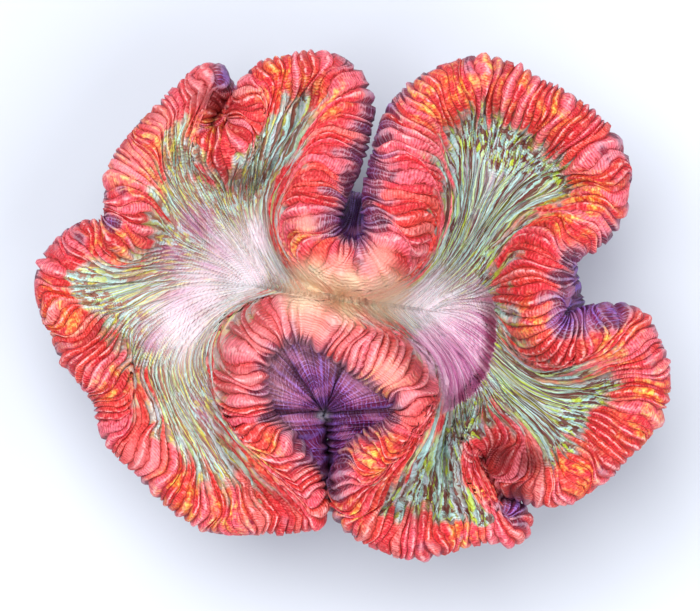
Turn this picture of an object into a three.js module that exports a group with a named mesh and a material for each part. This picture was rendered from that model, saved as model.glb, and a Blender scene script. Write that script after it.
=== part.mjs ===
import * as THREE from 'three';

// An open brain coral, one polyp grown as one piece. Its fleshy rim wanders in and out of
// seven folds and stands up round a shallow valley, which has the mouth at its middle.
// Outside the rim the wall draws in as it goes down and its folds die out, to the flat cut
// that the coral rests on. Millimetres, +Z up, heights over the cut.

// ---- driving dimensions ----

const COLUMNS = 256; // lines from the mouth over the rim to the cut, evenly spaced on the rim

// The crest of the rim, clockwise from above: x, y, height, overhang of the lip outside it.
const RIM = [
  // left lobe
  [-35.8, 2.6, 25, 2.4], [-34.4, 5.6, 25, 2.3], [-32.0, 7.7, 26, 2.4],
  // nick on the left
  [-29.6, 7.9, 27.5, 2.4], [-27.5, 9.2, 28, 2.2], [-27.1, 12.0, 27, 2.4],
  // upper left lobe
  [-27.4, 15.2, 26, 2.3], [-26.0, 18.0, 25.5, 2.2], [-23.9, 20.6, 25, 2.1],
  [-22.1, 22.6, 25, 2.0], [-20.4, 24.4, 25.2, 1.7], [-18.6, 25.9, 25.5, 2.0],
  [-17.0, 26.6, 26, 2.4],
  // the curl beside it, a roll of flesh round a short blind fold
  [-16.2, 26.0, 26, 2.4], [-16.9, 24.9, 26.2, 1.4], [-17.9, 23.6, 26.5, 1.4],
  [-18.7, 22.0, 27, 1.7], [-18.5, 20.3, 27.5, 1.7], [-17.0, 19.3, 28, 1.8],
  [-15.0, 19.1, 28.6, 2.2], [-13.0, 19.8, 29.5, 3.0], [-11.6, 21.7, 30.3, 3.7],
  [-11.3, 23.8, 30.6, 3.4], [-11.2, 25.8, 30, 2.2],
  // top lobe
  [-10.0, 27.3, 29, 1.7], [-8.0, 27.9, 29, 1.8], [-5.2, 28.2, 29.5, 1.9],
  [-2.4, 27.2, 30.5, 2.6],
  // top fold, in to its tip beside the mouth and out again
  [-0.9, 24.4, 31.5, 3.2], [-1.8, 21.0, 32.5, 3.9], [-3.1, 17.5, 34, 4.1],
  [-4.3, 14.0, 35.5, 3.9], [-5.0, 10.8, 37, 3.4], [-4.6, 7.8, 38.5, 3.2],
  [-3.0, 5.6, 39.5, 3.0], [-0.6, 4.6, 40, 3.0], [2.0, 5.0, 39.5, 3.0],
  [4.0, 6.8, 38.5, 3.2], [5.0, 9.8, 37.5, 3.8], [5.3, 13.3, 36, 4.3],
  [5.8, 17.0, 34.5, 3.8], [6.1, 20.0, 33, 3.2], [6.9, 22.6, 31.5, 2.8],
  // upper right lobe
  [9.0, 24.8, 30, 2.5], [11.8, 26.4, 29, 2.4], [15.2, 27.5, 28.5, 2.2],
  [18.6, 26.6, 28, 2.2], [21.6, 24.9, 28, 2.2], [24.6, 23.3, 28, 2.3],
  [27.4, 20.8, 28.5, 2.4], [29.6, 18.2, 29, 2.5], [30.4, 15.0, 29.5, 2.4],
  [29.8, 11.8, 30, 2.3],
  // right fold, an open notch
  [28.2, 9.4, 31, 2.4], [25.6, 8.0, 32.5, 2.6], [23.4, 6.4, 33.5, 3.0],
  [22.5, 3.8, 34, 3.6], [22.3, 1.2, 34, 3.6], [22.4, -1.4, 33.5, 2.4],
  [24.0, -3.4, 33, 2.2], [26.6, -3.9, 32, 3.2], [29.6, -3.0, 31, 3.2],
  [32.4, -2.8, 30, 2.9],
  // right lobe
  [34.2, -4.8, 29, 2.3], [35.3, -7.6, 28, 2.3], [35.3, -10.6, 27.5, 2.2],
  [34.2, -13.4, 27, 2.2], [32.0, -15.9, 26.5, 2.0], [30.0, -18.2, 26.5, 2.0],
  [27.4, -20.4, 26.5, 2.0], [24.6, -21.8, 27, 1.9],
  // the curl below it, with a long flap under its knob
  [22.0, -21.6, 28, 2.0], [20.2, -20.6, 29, 2.6], [18.8, -19.0, 30, 3.0],
  [17.6, -17.4, 30, 2.6], [16.0, -16.5, 29, 1.8], [14.3, -17.0, 28.3, 1.0],
  [13.6, -18.8, 27.6, 0.8], [14.1, -20.8, 27, 0.8], [15.2, -22.4, 26.5, 1.0],
  [16.6, -23.7, 26, 1.0], [18.2, -24.7, 25.5, 1.3], [19.4, -25.6, 25, 2.6],
  [18.8, -26.8, 25, 2.0],
  // bottom lobe
  [16.4, -27.0, 25.5, 1.0], [13.2, -27.4, 26, 1.3], [10.2, -28.0, 26.5, 1.6],
  [7.2, -28.4, 27, 1.8], [4.2, -27.6, 28, 1.7], [1.6, -26.2, 29, 1.8],
  // bottom fold, in round its wide head and out again
  [-0.2, -24.2, 30, 2.0], [-0.2, -21.8, 31, 2.8], [1.3, -19.2, 32.5, 3.6],
  [4.1, -17.0, 34, 3.4], [6.3, -14.6, 35, 2.6], [6.9, -11.8, 36, 1.8],
  [5.6, -9.2, 37.5, 2.2], [3.4, -7.2, 38.5, 2.8], [1.0, -5.4, 39, 2.8],
  [-1.5, -3.6, 39.5, 2.8], [-4.2, -2.0, 40, 2.8], [-7.2, -1.6, 40, 2.8],
  [-10.0, -3.0, 39, 2.4], [-11.9, -5.6, 38, 2.2], [-12.3, -8.6, 37, 2.2],
  [-12.2, -11.4, 36, 2.4], [-11.4, -14.0, 34.5, 2.6], [-9.8, -16.4, 33, 3.0],
  [-7.8, -18.9, 31.5, 3.2], [-6.0, -21.3, 30, 2.6], [-4.8, -23.3, 28.5, 1.7],
  [-4.7, -25.0, 27.5, 1.2],
  // lower left lobe
  [-7.4, -25.6, 26.5, 1.4], [-10.4, -25.3, 26, 1.7], [-13.6, -25.4, 25.5, 1.9],
  [-16.8, -25.0, 25, 2.0], [-19.6, -23.4, 25, 2.0], [-22.4, -20.8, 25, 2.1],
  [-25.2, -17.9, 25.5, 2.1], [-28.0, -15.0, 26, 2.1],
  // small knob between it and the left lobe
  [-28.2, -12.4, 27.5, 2.4], [-28.7, -9.9, 28.5, 2.8], [-30.6, -7.6, 27.5, 2.6],
  [-33.2, -5.0, 26.5, 2.2], [-34.2, -2.2, 25.5, 2.0], [-35.3, 0.2, 25, 2.2],
];

// The mouth line, a slit between the tips of the top and the bottom fold.
const MOUTH = { x: -1.5, y: 0.9, halfLength: 11.5, halfWidth: 0.35, turn: -8 };
// Crest points that the ends and the middles of the slit look at, and the slit's angle there.
const FACING = [[-35.8, 2.6, 180], [-0.6, 4.6, 90], [32.4, -2.8, 0], [-4.2, -2.0, -90]];

// The valley: a shallow bowl under the rim, with the round mouth disc sunk into it, and raised
// between the tips of the deep folds.
const FLOOR = 20; // height of the floor at the mouth
const BOWL_RISE = 3.5; // how much higher the floor is BOWL_RADIUS away
const BOWL_RADIUS = 30;
const SADDLE = { x: -1.2, y: 1.0, radius: 6, rise: 9 };
const DISC = { x: 8, y: -3, radiusX: 9.3, radiusY: 10.4, depth: 1.5, edge: 0.6 };
const SLOPE_ROWS = 4; // rows down the slope inside the crest
const FLOOR_ROWS = 4; // rows from the foot of the slope to the slit
const SLOPE_PER_OVERHANG = 1.6; // width of that slope
const SLOPE_MIN = 2.5;
const SLOPE_MAX_SHARE = 1.2; // the slope is at most this much of the way to the mouth
const FOOT_MAX_SHARE = 0.8; // and the rows of its foot lie at most this far along
const ROLL_POWER = 3.5; // how full the rim is on top, before it drops to the floor
const ROLL_FOOT = 4; // how gently it meets the floor

// The lip rolls over from the crest on an ellipse as wide as its overhang, and curls under.
const LIP_ROWS = 4;
const LIP_TURN = 125; // degrees round the ellipse
const LIP_HEIGHT_PER_OVERHANG = 1.2;
const LIP_HEIGHT_MIN = 0.6;
const LIP_MAX_BEND = 0.75; // the most of a fold's inner radius that the lip may take

// The wall under the lip. Down to SKIRT_HEIGHT it draws in a little while the flesh closes the
// folds behind the lip. Below that they die out and it draws in to the cut. Wave n of the
// outline is multiplied by exp(-fade n^2), so that the shortest waves go first.
const SKIRT_HEIGHT = 19;
const SKIRT_SCALE = 0.93;
const SKIRT_FADE = 0.03;
const SKIRT_STEPS = [0.35, 0.7, 1]; // share of the way from the lip to SKIRT_HEIGHT
const FOOT_FADE = 1.5;
const FOOT_STEPS = [0.28, 0.62, 1]; // share of the way from there to the cut
const FOOT_SCALE = 0.42; // the cut against the plain oval of the outline
const TUCK_POWER = 1.6; // above 1 the wall draws in early

// Folds whose walls lean in until they nearly meet below the lip: where each starts and ends
// on the crest, the two ends of the line that its walls lean to, and how early they do.
const CLOSED_FOLDS = [
  { start: [0.9, -25.6], end: [-5.9, -25.4], near: [-3.4, -12.5], far: [-2.5, -25.0], early: 3 },
  { start: [-17.8, 26.2], end: [-10.6, 26.6], near: [-15.3, 22.3], far: [-14.6, 26.4], early: 4 },
  { start: [23.3, -21.7], end: [19.1, -26.2], near: [16.2, -19.6], far: [20.6, -23.6], early: 4 },
];
const CLOSED_SHARE = 0.975; // how much of the way to that line they lean
const CLOSED_EDGE = 2; // stations over which a closed fold begins, and ends

// ---- the net of lines over the valley ----

const NET_ROWS = 28;
const NET_CROWDING = 4; // the settled rows crowd towards the rim
const SETTLE_STEPS = 2500;
const FACING_SOFTENINGS = 154; // how often the columns' places on the slit are evened out

const wrap = (i) => (i + COLUMNS) % COLUMNS;
const radians = THREE.MathUtils.degToRad;

// In the bends of the folds the lip stays narrower than the bend, so that it can't cross itself.
function limitOverhangs(stations) {
  const limits = stations.map((station, i) => {
    const before = stations[wrap(i - 1)];
    const after = stations[wrap(i + 1)];
    const bend = (before.outX * after.outY - before.outY * after.outX) / (2 * station.pitch);
    return bend > 0 ? Math.min(station.overhang, LIP_MAX_BEND / bend) : station.overhang;
  });
  stations.forEach((station, i) => {
    station.overhang = (limits[wrap(i - 1)] + limits[i] + limits[wrap(i + 1)]) / 3;
  });
}

// Evenly spaced stations on the crest, each with the direction that points out of the coral.
function crestStations() {
  const curve = new THREE.CatmullRomCurve3(
    RIM.map(([x, y, z]) => new THREE.Vector3(x, y, z)), true, 'centripetal');
  curve.arcLengthDivisions = 4000;
  const stations = [];
  for (let i = 0; i < COLUMNS; i++) {
    const t = curve.getUtoTmapping(i / COLUMNS);
    const point = curve.getPoint(t);
    const place = t * RIM.length;
    const before = Math.floor(place) % RIM.length;
    const after = (before + 1) % RIM.length;
    const overhang = THREE.MathUtils.lerp(RIM[before][3], RIM[after][3], place % 1);
    stations.push({ x: point.x, y: point.y, z: point.z, overhang });
  }
  stations.forEach((station, i) => {
    const before = stations[wrap(i - 1)];
    const after = stations[wrap(i + 1)];
    const length = Math.hypot(after.x - before.x, after.y - before.y);
    station.outX = -(after.y - before.y) / length;
    station.outY = (after.x - before.x) / length;
    station.pitch = length / 2;
  });
  limitOverhangs(stations);
  return stations;
}

function nearestStation(stations, x, y) {
  const gaps = stations.map((s) => Math.hypot(s.x - x, s.y - y));
  return gaps.indexOf(Math.min(...gaps));
}

// Where each column ends on the slit, as an angle round it.
function slitAngles(stations) {
  const first = nearestStation(stations, FACING[0][0], FACING[0][1]);
  const knots = FACING.map(([x, y, angle]) => [
    wrap(nearestStation(stations, x, y) - first), angle]);
  knots.push([COLUMNS, FACING[0][2] - 360]);
  const even = (i) => FACING[0][2] - 360 * wrap(i - first) / COLUMNS;
  let drift = stations.map((_, i) => {
    const place = wrap(i - first);
    const k = knots.findIndex((knot) => knot[0] > place);
    const part = (place - knots[k - 1][0]) / (knots[k][0] - knots[k - 1][0]);
    return THREE.MathUtils.lerp(knots[k - 1][1], knots[k][1], part) - even(i);
  });
  for (let pass = 0; pass < FACING_SOFTENINGS; pass++) {
    drift = drift.map((d, i) => 0.5 * d + 0.25 * (drift[wrap(i - 1)] + drift[wrap(i + 1)]));
  }
  return drift.map((d, i) => radians(even(i) + d));
}

// Lines from the slit to the crest that keep an even spread and never cross, however deep
// the folds: a grid settled by the inverse Laplace equations. Each line is a list of points
// from the slit to the crest.
function settledNet(stations) {
  const angles = slitAngles(stations);
  const turn = radians(MOUTH.turn);
  const stride = NET_ROWS + 1;
  const xs = new Float64Array(COLUMNS * stride);
  const ys = new Float64Array(COLUMNS * stride);
  stations.forEach((station, i) => {
    const along = MOUTH.halfLength * Math.cos(angles[i]);
    const across = MOUTH.halfWidth * Math.sin(angles[i]);
    const slitX = MOUTH.x + along * Math.cos(turn) - across * Math.sin(turn);
    const slitY = MOUTH.y + along * Math.sin(turn) + across * Math.cos(turn);
    for (let j = 0; j <= NET_ROWS; j++) {
      const part = (1 - Math.exp(-NET_CROWDING * j / NET_ROWS)) / (1 - Math.exp(-NET_CROWDING));
      xs[i * stride + j] = slitX + (station.x - slitX) * part;
      ys[i * stride + j] = slitY + (station.y - slitY) * part;
    }
  });

  const pull = NET_CROWDING / NET_ROWS / 2;
  const settle = (values, here, left, right, a, b, c) => {
    const twist = (values[right + 1] - values[right - 1] - values[left + 1] + values[left - 1]) / 4;
    const sides = values[right] + values[left];
    const ends = (1 + pull) * values[here + 1] + (1 - pull) * values[here - 1];
    values[here] = (a * sides + c * ends - 2 * b * twist) / (2 * (a + c));
  };
  for (let step = 0; step < SETTLE_STEPS; step++) {
    for (let i = 0; i < COLUMNS; i++) {
      for (let j = 1; j < NET_ROWS; j++) {
        const here = i * stride + j;
        const left = wrap(i - 1) * stride + j;
        const right = wrap(i + 1) * stride + j;
        const roundX = (xs[right] - xs[left]) / 2;
        const roundY = (ys[right] - ys[left]) / 2;
        const upX = (xs[here + 1] - xs[here - 1]) / 2;
        const upY = (ys[here + 1] - ys[here - 1]) / 2;
        const a = upX * upX + upY * upY;
        const b = roundX * upX + roundY * upY;
        const c = roundX * roundX + roundY * roundY;
        settle(xs, here, left, right, a, b, c);
        settle(ys, here, left, right, a, b, c);
      }
    }
  }
  return stations.map((_, i) => Array.from({ length: stride },
    (_value, j) => [xs[i * stride + j], ys[i * stride + j]]));
}

// ---- the surface, ring by ring from the slit out over the rim and down to the cut ----

function floorHeight(x, y) {
  const away = Math.hypot(x - MOUTH.x, y - MOUTH.y) / BOWL_RADIUS;
  const disc = Math.hypot((x - DISC.x) / DISC.radiusX, (y - DISC.y) / DISC.radiusY);
  const sunk = 1 - THREE.MathUtils.smoothstep(disc, 1 - DISC.edge, 1);
  const fromSaddle = Math.hypot(x - SADDLE.x, y - SADDLE.y) / SADDLE.radius;
  const saddle = SADDLE.rise * Math.exp(-fromSaddle * fromSaddle);
  return FLOOR + BOWL_RISE * away * away + saddle - DISC.depth * sunk;
}

// How far each line runs from the crest, and how wide the slope beside each station is.
function measureSlopes(stations, net) {
  stations.forEach((station, i) => {
    station.down = [...net[i]].reverse();
    station.reached = [0];
    for (let j = 1; j < station.down.length; j++) {
      const [x, y] = station.down[j];
      const [lastX, lastY] = station.down[j - 1];
      station.reached.push(station.reached[j - 1] + Math.hypot(x - lastX, y - lastY));
    }
    station.length = station.reached[station.reached.length - 1];
    const wanted = SLOPE_PER_OVERHANG * station.overhang + SLOPE_MIN;
    station.slope = Math.min(wanted, SLOPE_MAX_SHARE * station.length);
  });
}

// The valley's height: the floor, and on it a smooth slope up to the nearest of the crest.
function valleyHeight(stations, x, y) {
  let nearest = Infinity;
  let rise = 0;
  let weights = 0;
  for (const station of stations) {
    const away = Math.hypot(x - station.x, y - station.y);
    const weight = 1 / (away + 0.05) ** 4;
    nearest = Math.min(nearest, away / station.slope);
    rise += weight * (station.z - floorHeight(station.x, station.y));
    weights += weight;
  }
  const roll = (1 - Math.min(nearest, 1) ** ROLL_POWER) ** ROLL_FOOT;
  return floorHeight(x, y) + (rise / weights) * roll;
}

// One column of the valley, from the slit up to the crest.
function valleyColumn(stations, { x: crestX, y: crestY, z: crestZ, down, reached, length, slope }) {
  const column = [[crestX, crestY, crestZ]];
  const foot = Math.min(slope, FOOT_MAX_SHARE * length);
  for (let row = 1; row <= SLOPE_ROWS + FLOOR_ROWS; row++) {
    const onFloor = Math.max(0, row - SLOPE_ROWS) / FLOOR_ROWS;
    const along = foot * Math.min(1, row / SLOPE_ROWS) + (length - foot) * onFloor;
    const next = reached.findIndex((r) => r >= along - 1e-9);
    const part = (along - reached[next - 1]) / (reached[next] - reached[next - 1]);
    const x = THREE.MathUtils.lerp(down[next - 1][0], down[next][0], part);
    const y = THREE.MathUtils.lerp(down[next - 1][1], down[next][1], part);
    column.unshift([x, y, valleyHeight(stations, x, y)]);
  }
  return column;
}

function lipColumn(station) {
  const height = LIP_HEIGHT_PER_OVERHANG * station.overhang + LIP_HEIGHT_MIN;
  const column = [];
  for (let row = 1; row <= LIP_ROWS; row++) {
    const angle = radians(LIP_TURN) * (row / LIP_ROWS);
    const out = station.overhang * Math.sin(angle);
    column.push([station.x + station.outX * out, station.y + station.outY * out,
      station.z - height * (1 - Math.cos(angle))]);
  }
  return column;
}

// The outline of the lip as a sum of waves round the coral.
function outlineWaves(outline) {
  const waves = [];
  for (let n = -COLUMNS / 2; n < COLUMNS / 2; n++) {
    let real = 0;
    let imaginary = 0;
    outline.forEach(([x, y], i) => {
      const angle = 2 * Math.PI * n * i / COLUMNS;
      real += (x * Math.cos(angle) + y * Math.sin(angle)) / COLUMNS;
      imaginary += (y * Math.cos(angle) - x * Math.sin(angle)) / COLUMNS;
    });
    waves.push({ n, real, imaginary });
  }
  return waves;
}

// A ring of the wall: the outline with its folds faded, drawn in by scale, at the heights.
function wallRing(waves, fade, scale, heights) {
  return heights.map((z, i) => {
    let x = 0;
    let y = 0;
    for (const { n, real, imaginary } of waves) {
      const keep = n === 0 ? 1 : scale * (Math.abs(n) > 1 ? Math.exp(-fade * n * n) : 1);
      const angle = 2 * Math.PI * n * i / COLUMNS;
      x += keep * (real * Math.cos(angle) - imaginary * Math.sin(angle));
      y += keep * (real * Math.sin(angle) + imaginary * Math.cos(angle));
    }
    return [x, y, z];
  });
}

// A ring of the wall with the walls of the closed folds leaning in to their middle lines, each
// point to the place on the line beside its own lip. Below the skirt they let go of it again.
function closeFolds(ring, lip, stations, share, letGo) {
  const closed = ring.map((point) => [...point]);
  for (const { start, end, near, far, early } of CLOSED_FOLDS) {
    const first = nearestStation(stations, start[0], start[1]);
    const last = nearestStation(stations, end[0], end[1]);
    const [lineX, lineY] = [far[0] - near[0], far[1] - near[1]];
    closed.forEach((point, i) => {
      const inside = THREE.MathUtils.smoothstep(i, first - CLOSED_EDGE, first + CLOSED_EDGE)
        - THREE.MathUtils.smoothstep(i, last - CLOSED_EDGE, last + CLOSED_EDGE);
      const along = (lip[i][0] - near[0]) * lineX + (lip[i][1] - near[1]) * lineY;
      const part = THREE.MathUtils.clamp(along / (lineX * lineX + lineY * lineY), 0, 1);
      const lean = CLOSED_SHARE * inside * (1 - (1 - share) ** early) * (1 - letGo) ** 3;
      point[0] += lean * (near[0] + part * lineX - point[0]);
      point[1] += lean * (near[1] + part * lineY - point[1]);
    });
  }
  return closed;
}

function wallRings(lip, stations) {
  const waves = outlineWaves(lip);
  const skirt = SKIRT_STEPS.map((share) => {
    const heights = lip.map((p) => THREE.MathUtils.lerp(p[2], SKIRT_HEIGHT, share));
    const scale = 1 + (SKIRT_SCALE - 1) * share;
    const ring = wallRing(waves, SKIRT_FADE * share ** 2, scale, heights);
    return closeFolds(ring, lip, stations, share, 0);
  });
  const foot = FOOT_STEPS.map((share) => {
    const fade = SKIRT_FADE * (FOOT_FADE / SKIRT_FADE) ** share;
    const scale = FOOT_SCALE + (SKIRT_SCALE - FOOT_SCALE) * (1 - share) ** TUCK_POWER;
    const heights = lip.map(() => SKIRT_HEIGHT * (1 - share));
    return closeFolds(wallRing(waves, fade, scale, heights), lip, stations, 1, share);
  });
  return [...skirt, ...foot];
}

// The bottom of the slit, sewn across between its two sides from end to end.
function slitFaces(ring) {
  const turn = radians(MOUTH.turn);
  const along = ring.map(([x, y]) => x * Math.cos(turn) + y * Math.sin(turn));
  let near = along.indexOf(Math.min(...along));
  let far = near;
  const faces = [];
  while (wrap(far + 1) !== wrap(near - 1)) {
    const farNext = wrap(far + 1);
    const nearNext = wrap(near - 1);
    if (far === near || along[farNext] < along[nearNext]) {
      if (far !== near) faces.push(near, farNext, far);
      far = farNext;
    } else {
      faces.push(near, nearNext, far);
      near = nearNext;
    }
  }
  faces.push(near, wrap(far + 1), far);
  return faces;
}

function middle(ring) {
  const sum = ring.reduce((total, p) => total.map((t, axis) => t + p[axis]), [0, 0, 0]);
  return sum.map((s) => s / ring.length);
}

function coralGeometry() {
  const stations = crestStations();
  measureSlopes(stations, settledNet(stations));
  const columns = stations.map((station) => [
    ...valleyColumn(stations, station), ...lipColumn(station)]);
  const rings = columns[0].map((_, row) => columns.map((column) => column[row]));
  const lip = rings[rings.length - 1];
  rings.push(...wallRings(lip, stations));

  const points = rings.flat();
  const footPoint = points.push(middle(rings[rings.length - 1])) - 1;
  const gap = (p, q) => Math.hypot(...points[p].map((value, axis) => value - points[q][axis]));
  const faces = slitFaces(rings[0]);
  for (let i = 0; i < COLUMNS; i++) {
    const next = wrap(i + 1);
    for (let ring = 0; ring < rings.length - 1; ring++) {
      const [a, b] = [ring * COLUMNS + i, ring * COLUMNS + next];
      const [c, d] = [a + COLUMNS, b + COLUMNS];
      faces.push(...(gap(a, d) < gap(b, c) ? [a, b, d, a, d, c] : [a, b, c, b, d, c]));
    }
    const last = (rings.length - 1) * COLUMNS;
    faces.push(footPoint, last + i, last + next);
  }

  const geometry = new THREE.BufferGeometry();
  geometry.setAttribute('position', new THREE.Float32BufferAttribute(points.flat(), 3));
  geometry.setIndex(faces);
  geometry.computeVertexNormals();
  return geometry;
}

// The origin is the middle of the coral's box, on the cut.
const geometry = coralGeometry();
geometry.computeBoundingBox();
const centre = geometry.boundingBox.getCenter(new THREE.Vector3());
geometry.translate(-centre.x, -centre.y, 0);

const flesh = new THREE.MeshStandardMaterial({ color: 0xe0525a, roughness: 0.42, metalness: 0 });
const coral = new THREE.Mesh(geometry, flesh);
coral.name = 'brain_coral';

const part = new THREE.Group();
part.add(coral);

export default part;
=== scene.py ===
import math

import bpy
import numpy as np
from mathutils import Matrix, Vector


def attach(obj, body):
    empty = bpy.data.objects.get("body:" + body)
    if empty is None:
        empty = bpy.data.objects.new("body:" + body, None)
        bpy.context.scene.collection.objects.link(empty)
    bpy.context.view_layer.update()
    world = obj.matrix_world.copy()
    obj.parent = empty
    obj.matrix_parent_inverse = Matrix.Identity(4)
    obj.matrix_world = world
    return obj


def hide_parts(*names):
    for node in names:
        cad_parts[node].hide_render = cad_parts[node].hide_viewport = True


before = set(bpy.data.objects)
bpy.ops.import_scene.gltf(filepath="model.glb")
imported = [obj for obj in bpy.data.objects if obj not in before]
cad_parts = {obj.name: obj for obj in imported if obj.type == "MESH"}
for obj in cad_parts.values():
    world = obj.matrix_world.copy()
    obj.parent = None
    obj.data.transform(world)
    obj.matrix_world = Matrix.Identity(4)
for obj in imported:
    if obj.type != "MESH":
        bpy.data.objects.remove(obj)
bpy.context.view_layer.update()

# ---- The flesh ----
# An open brain coral is one polyp: soft, wet, water-filled flesh over a narrow cone of skeleton.
# Its rim stands up round the valley in seven folds and is pleated all along like an accordion.
# It rolls over outwards and goes down as the wall, to where the coral was cut off flat.

MM = 0.001

# The crest of the rim in millimetres, clockwise from above: x, y, height, overhang of the lip.
RIM = np.array([
    # left lobe
    (-35.8, 2.6, 25, 2.4), (-34.4, 5.6, 25, 2.3), (-32, 7.7, 26, 2.4),
    # nick on the left
    (-29.6, 7.9, 27.5, 2.4), (-27.5, 9.2, 28, 2.2), (-27.1, 12, 27, 2.4),
    # upper left lobe
    (-27.4, 15.2, 26, 2.3), (-26, 18, 25.5, 2.2), (-23.9, 20.6, 25, 2.1),
    (-22.1, 22.6, 25, 2), (-20.4, 24.4, 25.2, 1.7), (-18.6, 25.9, 25.5, 2),
    (-17, 26.6, 26, 2.4),
    # the curl beside it, a roll of flesh round a short blind fold
    (-16.2, 26, 26, 2.4), (-16.9, 24.9, 26.2, 1.4), (-17.9, 23.6, 26.5, 1.4),
    (-18.7, 22, 27, 1.7), (-18.5, 20.3, 27.5, 1.7), (-17, 19.3, 28, 1.8),
    (-15, 19.1, 28.6, 2.2), (-13, 19.8, 29.5, 3), (-11.6, 21.7, 30.3, 3.7),
    (-11.3, 23.8, 30.6, 3.4), (-11.2, 25.8, 30, 2.2),
    # top lobe
    (-10, 27.3, 29, 1.7), (-8, 27.9, 29, 1.8), (-5.2, 28.2, 29.5, 1.9),
    (-2.4, 27.2, 30.5, 2.6),
    # top fold, in to its tip beside the mouth and out again
    (-0.9, 24.4, 31.5, 3.2), (-1.8, 21, 32.5, 3.9), (-3.1, 17.5, 34, 4.1),
    (-4.3, 14, 35.5, 3.9), (-5, 10.8, 37, 3.4), (-4.6, 7.8, 38.5, 3.2),
    (-3, 5.6, 39.5, 3), (-0.6, 4.6, 40, 3), (2, 5, 39.5, 3),
    (4, 6.8, 38.5, 3.2), (5, 9.8, 37.5, 3.8), (5.3, 13.3, 36, 4.3),
    (5.8, 17, 34.5, 3.8), (6.1, 20, 33, 3.2), (6.9, 22.6, 31.5, 2.8),
    # upper right lobe
    (9, 24.8, 30, 2.5), (11.8, 26.4, 29, 2.4), (15.2, 27.5, 28.5, 2.2),
    (18.6, 26.6, 28, 2.2), (21.6, 24.9, 28, 2.2), (24.6, 23.3, 28, 2.3),
    (27.4, 20.8, 28.5, 2.4), (29.6, 18.2, 29, 2.5), (30.4, 15, 29.5, 2.4),
    (29.8, 11.8, 30, 2.3),
    # right fold, an open notch
    (28.2, 9.4, 31, 2.4), (25.6, 8, 32.5, 2.6), (23.4, 6.4, 33.5, 3),
    (22.5, 3.8, 34, 3.6), (22.3, 1.2, 34, 3.6), (22.4, -1.4, 33.5, 2.4),
    (24, -3.4, 33, 2.2), (26.6, -3.9, 32, 3.2), (29.6, -3, 31, 3.2),
    (32.4, -2.8, 30, 2.9),
    # right lobe
    (34.2, -4.8, 29, 2.3), (35.3, -7.6, 28, 2.3), (35.3, -10.6, 27.5, 2.2),
    (34.2, -13.4, 27, 2.2), (32, -15.9, 26.5, 2), (30, -18.2, 26.5, 2),
    (27.4, -20.4, 26.5, 2), (24.6, -21.8, 27, 1.9),
    # the curl below it, with a long flap under its knob
    (22, -21.6, 28, 2), (20.2, -20.6, 29, 2.6), (18.8, -19, 30, 3),
    (17.6, -17.4, 30, 2.6), (16, -16.5, 29, 1.8), (14.3, -17, 28.3, 1),
    (13.6, -18.8, 27.6, 0.8), (14.1, -20.8, 27, 0.8), (15.2, -22.4, 26.5, 1),
    (16.6, -23.7, 26, 1), (18.2, -24.7, 25.5, 1.3), (19.4, -25.6, 25, 2.6),
    (18.8, -26.8, 25, 2),
    # bottom lobe
    (16.4, -27, 25.5, 1), (13.2, -27.4, 26, 1.3), (10.2, -28, 26.5, 1.6),
    (7.2, -28.4, 27, 1.8), (4.2, -27.6, 28, 1.7), (1.6, -26.2, 29, 1.8),
    # bottom fold, in round its wide head and out again
    (-0.2, -24.2, 30, 2), (-0.2, -21.8, 31, 2.8), (1.3, -19.2, 32.5, 3.6),
    (4.1, -17, 34, 3.4), (6.3, -14.6, 35, 2.6), (6.9, -11.8, 36, 1.8),
    (5.6, -9.2, 37.5, 2.2), (3.4, -7.2, 38.5, 2.8), (1, -5.4, 39, 2.8),
    (-1.5, -3.6, 39.5, 2.8), (-4.2, -2, 40, 2.8), (-7.2, -1.6, 40, 2.8),
    (-10, -3, 39, 2.4), (-11.9, -5.6, 38, 2.2), (-12.3, -8.6, 37, 2.2),
    (-12.2, -11.4, 36, 2.4), (-11.4, -14, 34.5, 2.6), (-9.8, -16.4, 33, 3),
    (-7.8, -18.9, 31.5, 3.2), (-6, -21.3, 30, 2.6), (-4.8, -23.3, 28.5, 1.7),
    (-4.7, -25, 27.5, 1.2),
    # lower left lobe
    (-7.4, -25.6, 26.5, 1.4), (-10.4, -25.3, 26, 1.7), (-13.6, -25.4, 25.5, 1.9),
    (-16.8, -25, 25, 2), (-19.6, -23.4, 25, 2), (-22.4, -20.8, 25, 2.1),
    (-25.2, -17.9, 25.5, 2.1), (-28, -15, 26, 2.1),
    # small knob between it and the left lobe
    (-28.2, -12.4, 27.5, 2.4), (-28.7, -9.9, 28.5, 2.8), (-30.6, -7.6, 27.5, 2.6),
    (-33.2, -5, 26.5, 2.2), (-34.2, -2.2, 25.5, 2), (-35.3, 0.2, 25, 2.2),
])

# The pleats: how many, how uneven, and the broad smooth ones at (x, y, times wider).
PLEATS = 384
PLEAT_UNEVENNESS = 0.3
BROAD_PLEATS = [
    (31, 19.3, 2.4), (29.9, 11.2, 1.8), (35, -12.6, 2.2), (30.5, -5, 2), (33.4, -3.6, 1.7),
    (-1.2, 23.4, 2.2), (-3.9, 15.4, 2), (-4.6, 8.2, 2.4), (4.4, 7.4, 2.2), (-12.2, -8, 2.4),
    (-8.8, -17.9, 2.2), (-22.9, -20.3, 2), (-28.4, -14.4, 1.8), (2, 5, 2.2), (5.7, -9.4, 2.4),
    (-27.2, 14.2, 2), (-35.4, 4, 1.8), (24.9, 23, 1.8), (-5, -1.8, 2.6), (16.4, 27.3, 1.7),
]

# Lines over the valley run from the mouth, a slit, to the crest.
STATIONS = 256
MOUTH = np.array([-1.5, 0.9])
MOUTH_HALF = (11.5, 0.35)
MOUTH_TURN = math.radians(-8)
FACING = [(-35.8, 2.6, 180), (-0.6, 4.6, 90), (32.4, -2.8, 0), (-4.2, -2.0, -90)]
NET_ROWS = 28
NET_CROWDING = 4

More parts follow.
